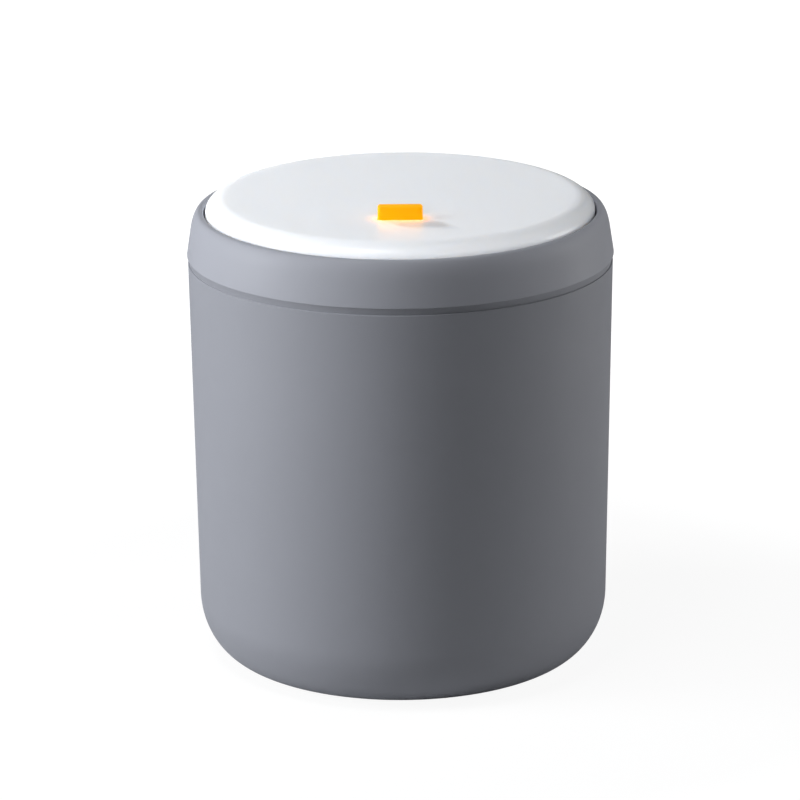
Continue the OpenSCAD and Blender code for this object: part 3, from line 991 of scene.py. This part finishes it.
@dataclass
class Lid:
    """The white cover with its knuckles, and the pan and screws under it.

    Attributes:
        wall: Thickness of the cover.
        edge: Width and drop of the rolled edge.
        tab_size: Width and depth of the push tab.
        tab_y: Where the middle of the tab is.
        slot_gap: Gap round the tab in its slot.
        knuckle: Width of a knuckle and its gap to the collar's lug.
        bore: Radius of the pin's bore.
        notch_spill: How far a notch clears a lug's neck.
        leg_notch: Half the width of the notch for the spring's leg.
        skirt_window: Half width, low and high of the bolt's window in the skirt.
    """

    shop: Workshop
    wall: float = 2 * MM
    edge: Pair = (9 * MM, 6.25 * MM)
    tab_size: Pair = (18.8 * MM, 4.2 * MM)
    tab_y: float = -39.4 * MM
    slot_gap: float = 0.3 * MM
    knuckle: Pair = (4 * MM, 0.3 * MM)
    bore: float = 1.28 * MM
    notch_spill: float = 0.4 * MM
    leg_notch: float = 1.4 * MM
    skirt_window: Triple = (9.8 * MM, 192.5 * MM, 195.6 * MM)
    low: Vector = field(init=False)
    high: Vector = field(init=False)

    def __post_init__(self) -> None:
        """Reads where the construction puts the cover."""
        self.low, self.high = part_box("lid_cover")

    def shell(self) -> Object:
        """The cover's flat top, rolled edge and skirt."""
        radius, top, skirt = self.high.x, self.high.z, self.low.z
        width, drop = self.edge
        centre = (radius - width, top - drop)
        inner = (width - self.wall, drop - self.wall)
        section = [
            Corner(0, top),
            *ellipse(centre, (width, drop), 90, 0, 36),
            Corner(radius, skirt, 0.4 * MM),
            Corner(radius - self.wall, skirt, 0.4 * MM),
            *ellipse(centre, inner, 0, 90, 16),
            Corner(0, top - self.wall),
        ]
        return revolve("lid_shell", section)

    def knuckles(self, collar: Collar) -> list[Object]:
        """The four knuckles that hold the pin, one on each side of each lug.

        Args:
            collar: The collar, whose lugs they stand beside.

        Returns:
            Closed forms that reach up into the cover.
        """
        _, y, z = self.shop.hinge
        wide, gap = self.knuckle
        ceiling = self.high.z - self.wall + 0.5 * MM
        made = []
        for side in (-1, 1):
            for hand in (-1, 1):
                x = side * collar.lug[0] + hand * (collar.lug[1] / 2 + gap + wide / 2)
                ends = self.shop.ends(x, wide)
                made.append(rod("knuckle", *ends, collar.eye[0], PIN_SIDES))
                low = (ends[0].x, y - collar.eye[0], z)
                made.append(brick("web", low, (ends[1].x, y + collar.eye[0], ceiling)))
        return made

    def notch(self, x: float, half: float, collar: Collar) -> Object:
        """What a collar lug's neck sweeps in the lid as it opens.

        Args:
            x: Middle of the notch along the pin.
            half: Half its width.
            collar: The collar, whose neck it clears.

        Returns:
            A closed cutter.
        """
        _, y, z = self.shop.hinge
        side, reach = collar.lug[2] / 2 + self.notch_spill, 15 * MM
        far = self.shop.open_angle - pi / 2
        sweep = [self.shop.open_angle * i / 8 - pi / 2 for i in range(9)]
        across = (-side * sin(far), side * cos(far))
        ahead = (reach * cos(far), reach * sin(far))
        outline = [(-side, 0), (-side, -reach)]
        outline += [(reach * cos(a), reach * sin(a)) for a in sweep]
        outline += [(ahead[0] + across[0], ahead[1] + across[1]), across]
        return prism("notch", [(y + a, z + b) for a, b in outline], Along.X, x - half, x + half)

    def cuts(self, collar: Collar) -> list[Object]:
        """The tab's slot, the bolt's window, the hinge notches and the pin's bore."""
        width, depth = (size + 2 * self.slot_gap for size in self.tab_size)
        top, below = self.high.z + CUT_SPILL, self.high.z - self.wall - CUT_SPILL
        slot = brick(
            "slot",
            (-width / 2, self.tab_y - depth / 2, below - 3 * MM),
            (width / 2, self.tab_y + depth / 2, top + 3 * MM),
            1.5 * MM,
        )
        half, low, high = self.skirt_window
        window = brick("window", (-half, -self.high.x - 1 * MM, low), (half, -self.high.x + 5 * MM, high))
        offset, lug_half = collar.lug[0], collar.lug[1] / 2 + self.notch_spill
        notches = [self.notch(x, lug_half, collar) for x in (-offset, offset)]
        leg_notch = self.notch(SPRING_X, self.leg_notch, collar)
        return [slot, window, self.shop.bore(self.bore), *notches, leg_notch]

    def build(self, collar: Collar) -> Object:
        """Makes the cover and dresses the pan, the screws and the pin.

        Args:
            collar: The collar that the lid is hinged to.

        Returns:
            The cover.
        """
        cover = self.shell()
        combine(cover, Join.ADD, self.knuckles(collar))
        combine(cover, Join.CUT, self.cuts(collar))
        self.shop.place(cover, "lid_cover", "lid", LID_WHITE, "lid_plastic")
        self.shop.repaint("lid_underpan", PAN_GREY)
        self.shop.repaint("underpan_screws", SCREW_ZINC)
        self.shop.repaint("hinge_pin", PIN_STEEL)
        return cover


@dataclass
class Latch:
    """The push tab, the bolt it draws back, the bridge and the bolt spring.

    Attributes:
        round_off: Radius of the edges of the tab's head.
        flange: Thickness of the flange that stops the tab under the cover.
        foot_half: Half the width of the wedge foot.
        toe: Front and rear of the foot's toe, and its height.
        spring: Wire radius and turns of the bolt's spring.
    """

    shop: Workshop
    round_off: float = 1.25 * MM
    flange: float = 2 * MM
    foot_half: float = 6.4 * MM
    toe: Triple = (-41.2 * MM, -39.2 * MM, 194.2 * MM)
    spring: tuple[float, int] = (0.3 * MM, 8)

    def build(self, lid: Lid) -> None:
        """Makes the tab and dresses the pieces inside the lid.

        Args:
            lid: The lid that the tab stands in.
        """
        low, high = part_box("push_tab")
        ceiling = lid.high.z - lid.wall
        under = ceiling - self.flange
        width, depth = lid.tab_size
        head = brick(
            "push_tab_head",
            (-width / 2, lid.tab_y - depth / 2, under),
            (width / 2, lid.tab_y + depth / 2, high.z),
            self.round_off,
        )
        plate = brick("flange", (low.x, low.y, under), (high.x, high.y, ceiling), 0.3 * MM)
        front, rear, bottom = self.toe
        back, sunk = rear + (under - bottom), under + 0.5 * MM
        outline = [(front, sunk), (front, bottom), (rear, bottom), (back, under), (back, sunk)]
        foot = prism("foot", outline, Along.X, -self.foot_half, self.foot_half)
        combine(head, Join.ADD, [plate, foot])
        self.shop.place(head, "push_tab", "tab", TAB_ORANGE, "tab_plastic")
        self.shop.repaint("latch_bolt", LATCH_BLACK)
        self.shop.repaint("bolt_bridge", LATCH_BLACK)
        self.shop.repaint("bridge_screws", SCREW_ZINC)
        self.push_spring()

    def push_spring(self) -> None:
        """Makes the coil behind the bolt at its rest length; on the real bin it shortens as the bolt
        draws back.
        """
        low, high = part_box("bolt_spring")
        radius, turns = self.spring
        middle = (low + high) / 2
        coil = (high.x - low.x) / 2 - radius
        front, span = low.y + radius, high.y - low.y - 2 * radius
        steps = int(COIL_STEPS * turns)
        points = []
        for i in range(steps + 1):
            a = TURN * turns * i / steps
            x, z = coil * cos(a), middle.z + coil * sin(a)
            points.append(Vector((x, front + span * i / steps, z)))
        made = wire("push_spring", points, radius)
        dress(made, self.shop.materials[SPRING_WIRE])
        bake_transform(made)
        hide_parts("bolt_spring")


@dataclass
class LidSpring:
    """The torsion spring on the hinge pin.

    Attributes:
        wire: Radius of the wire.
        coil: Radius of the coil to the middle of the wire.
        turns: Number of turns, a quarter more than whole.
        length: Length of the coil along the pin.
        leg: Reach of the front leg under the cover.
        foot: Height of the rear leg's end.
    """

    shop: Workshop
    wire: float = 0.5 * MM
    coil: float = 2.7 * MM
    turns: float = 5.25
    length: float = 12 * MM
    leg: float = 16 * MM
    foot: float = 181.11 * MM

    def route(self) -> list[Vector]:
        """The wire's middle line: rear leg, coil and front leg."""
        (_, y, z), x0 = self.shop.hinge, -self.length / 2
        steps = int(COIL_STEPS * self.turns)
        rise = [Vector((x0, y, self.foot)), Vector((x0, y, self.foot + 2.4 * MM))]
        rise.append(Vector((x0, y + self.coil - 0.3 * MM, z - 1.6 * MM)))
        coil = []
        for i in range(steps + 1):
            a = TURN * self.turns * i / steps
            around = Vector((0, cos(a), sin(a))) * self.coil
            coil.append(Vector((x0 + self.length * i / steps, y, z)) + around)
        front = [Vector((-x0, y - 1 * MM, z + self.coil)), Vector((-x0, y - self.leg, z + self.coil))]
        return rise + coil + front

    def build(self) -> None:
        """Makes the wire, which winds between the collar and the lid."""
        spring = wire("torsion_spring", self.route(), self.wire)
        dress(spring, self.shop.materials[SPRING_WIRE])
        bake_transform(spring)
        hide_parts("lid_spring")


@dataclass(frozen=True)
class Lamp:
    """A soft box that faces the bin.

    Attributes:
        name: The lamp's name.
        place: Where it stands, in metres.
        size: Its width and height, in metres.
        power: Its power in watts.
        colour: Its colour.
        lid_only: Whether it lights the lid's cover alone.
    """

    name: str
    place: Triple
    size: Pair
    power: float
    colour: Triple = (1.0, 1.0, 1.0)
    lid_only: bool = False

    def build(self) -> None:
        """Hangs the lamp."""
        light = bpy.data.lights.new(self.name, "AREA")
        light.shape, light.size, light.size_y = "RECTANGLE", *self.size
        light.energy, light.color = self.power, self.colour
        made = add_object(self.name, light)
        made.location = self.place
        aim = Vector((0, 0, LAMP_AIM)) - Vector(self.place)
        made.rotation_euler = aim.to_track_quat("-Z", "Y").to_euler()


LAMPS = (
    Lamp("key_left", (-1.52, -0.27, 0.5), (0.6, 0.8), 20.8, (0.95, 0.97, 1.0)),
    Lamp("overhead", (-0.28, -0.36, 1.15), (0.45, 0.3), 4.6, (0.97, 0.98, 1.0)),
    Lamp("fill_right", (1.4, 0.34, 0.25), (0.5, 0.8), 8.9),
    Lamp("lid_front", (-0.12, -1.3, 0.62), (0.9, 0.35), 13.5, lid_only=True),
    Lamp("lid_rear", (-0.85, 0.87, 0.61), (0.2, 0.2), 23, lid_only=True),
)


@dataclass
class Studio:
    """Camera, lights, floor and background.

    Attributes:
        target: The point that the camera was measured to.
        distance: Camera distance from the target.
        elevation: Camera height above the target, in degrees.
        lens: Focal length for a 36 mm sensor.
        aim: Degrees that the camera is tilted up and turned left of the target.
        roll: Degrees that the camera is rolled.
    """

    target: Vector = field(default_factory=lambda: Vector((0, 0, 89.2 * MM)))
    distance: float = 2.0
    elevation: float = 17.56
    lens: float = 209.0
    aim: Pair = (0.613, 0.021)
    roll: float = -0.47

    def camera(self) -> None:
        """Makes the camera at the photograph's place and angle."""
        rise = radians(self.elevation)
        back = Vector((0, -cos(rise), sin(rise)))
        lens = bpy.data.cameras.new("camera")
        lens.sensor_width, lens.lens = 36, self.lens
        lens.clip_start, lens.clip_end = 0.05, 50
        made = add_object("camera", lens)
        made.location = self.target + back * self.distance
        tilt, pan = (radians(a) for a in self.aim)
        turn = Matrix.Rotation(pan, 4, "Z") @ Matrix.Rotation(pi / 2 - rise + tilt, 4, "X")
        made.rotation_euler = (turn @ Matrix.Rotation(radians(self.roll), 4, "Z")).to_euler()
        bpy.context.scene.camera = made

    def world(self) -> None:
        """White to the camera, dimmer to what mirrors it, and a faint light on the pieces."""
        world = bpy.data.worlds.new("world")
        world.use_nodes = True
        bpy.context.scene.world = world
        n = Nodes(world.node_tree)
        rays = n.add("LightPath")
        seen = n.add("Math", operation="MAXIMUM")
        n.link(rays.outputs["Is Camera Ray"], seen.inputs[0])
        mirrored = 0.3
        n.link(n.times(rays.outputs["Is Glossy Ray"], mirrored), seen.inputs[1])
        soft = n.add("Background", Color=(0.96, 0.98, 1.0, 1), Strength=0.03)
        white = n.add("Background", Color=(1, 1, 1, 1), Strength=1.0)
        mix = n.shader_mix(seen.outputs["Value"], soft.outputs["Background"], white.outputs["Background"])
        n.link(mix, n.add("OutputWorld").inputs["Surface"])

    def light_alone(self, piece: Object) -> None:
        """Keeps the lid's own lamps to one piece, so that they add nothing to the rest.

        Args:
            piece: The piece that they light.
        """
        group = bpy.data.collections.new("lid_lamps_only")
        group.objects.link(piece)
        for lamp in (bpy.data.objects[lamp.name] for lamp in LAMPS if lamp.lid_only):
            lamp.light_linking.receiver_collection = group
            lamp.visible_glossy = False

    def floor(self) -> None:
        """A pale floor that keeps a faint shadow and shows white to the camera."""
        bm = bmesh.new()
        bmesh.ops.create_grid(bm, x_segments=1, y_segments=1, size=FLOOR_HALF)
        plane = make_object("floor", bm)
        paint = bpy.data.materials.new("floor_white")
        paint.use_nodes = True
        n = Nodes(paint.node_tree)
        rays = n.add("LightPath")
        pale = n.add("BsdfDiffuse", Color=(0.65, 0.65, 0.65, 1))
        glow = n.add("Emission", Color=(1, 1, 1, 1), Strength=1.15)
        place = n.add("TexCoord")
        away = n.add("VectorMath", operation="LENGTH")
        n.link(place.outputs["Object"], away.inputs[0])
        fade = n.spread(away.outputs["Value"], From_Min=0.2, From_Max=0.5, To_Min=0.8, To_Max=1.0)
        share = n.times(rays.outputs["Is Camera Ray"], fade)
        mix = n.shader_mix(share, pale.outputs["BSDF"], glow.outputs["Emission"])
        n.link(mix, n.add("OutputMaterial").inputs["Surface"])
        plane.data.materials.append(paint)

    def build(self) -> None:
        """Sets up the whole studio."""
        bpy.context.scene.view_settings.view_transform = "Standard"
        self.camera()
        for lamp in LAMPS:
            lamp.build()
        self.world()
        self.floor()


def main() -> None:
    """Builds the studio and the bin."""
    logging.basicConfig(level=logging.INFO, format="%(name)s: %(message)s")
    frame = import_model()
    studio = Studio()
    studio.build()
    shop = Workshop(frame)
    Body(shop).build()
    collar = Collar(shop)
    collar.build()
    lid = Lid(shop)
    studio.light_alone(lid.build(collar))
    Latch(shop).build(lid)
    LidSpring(shop).build()


if __name__ == "__main__":
    main()
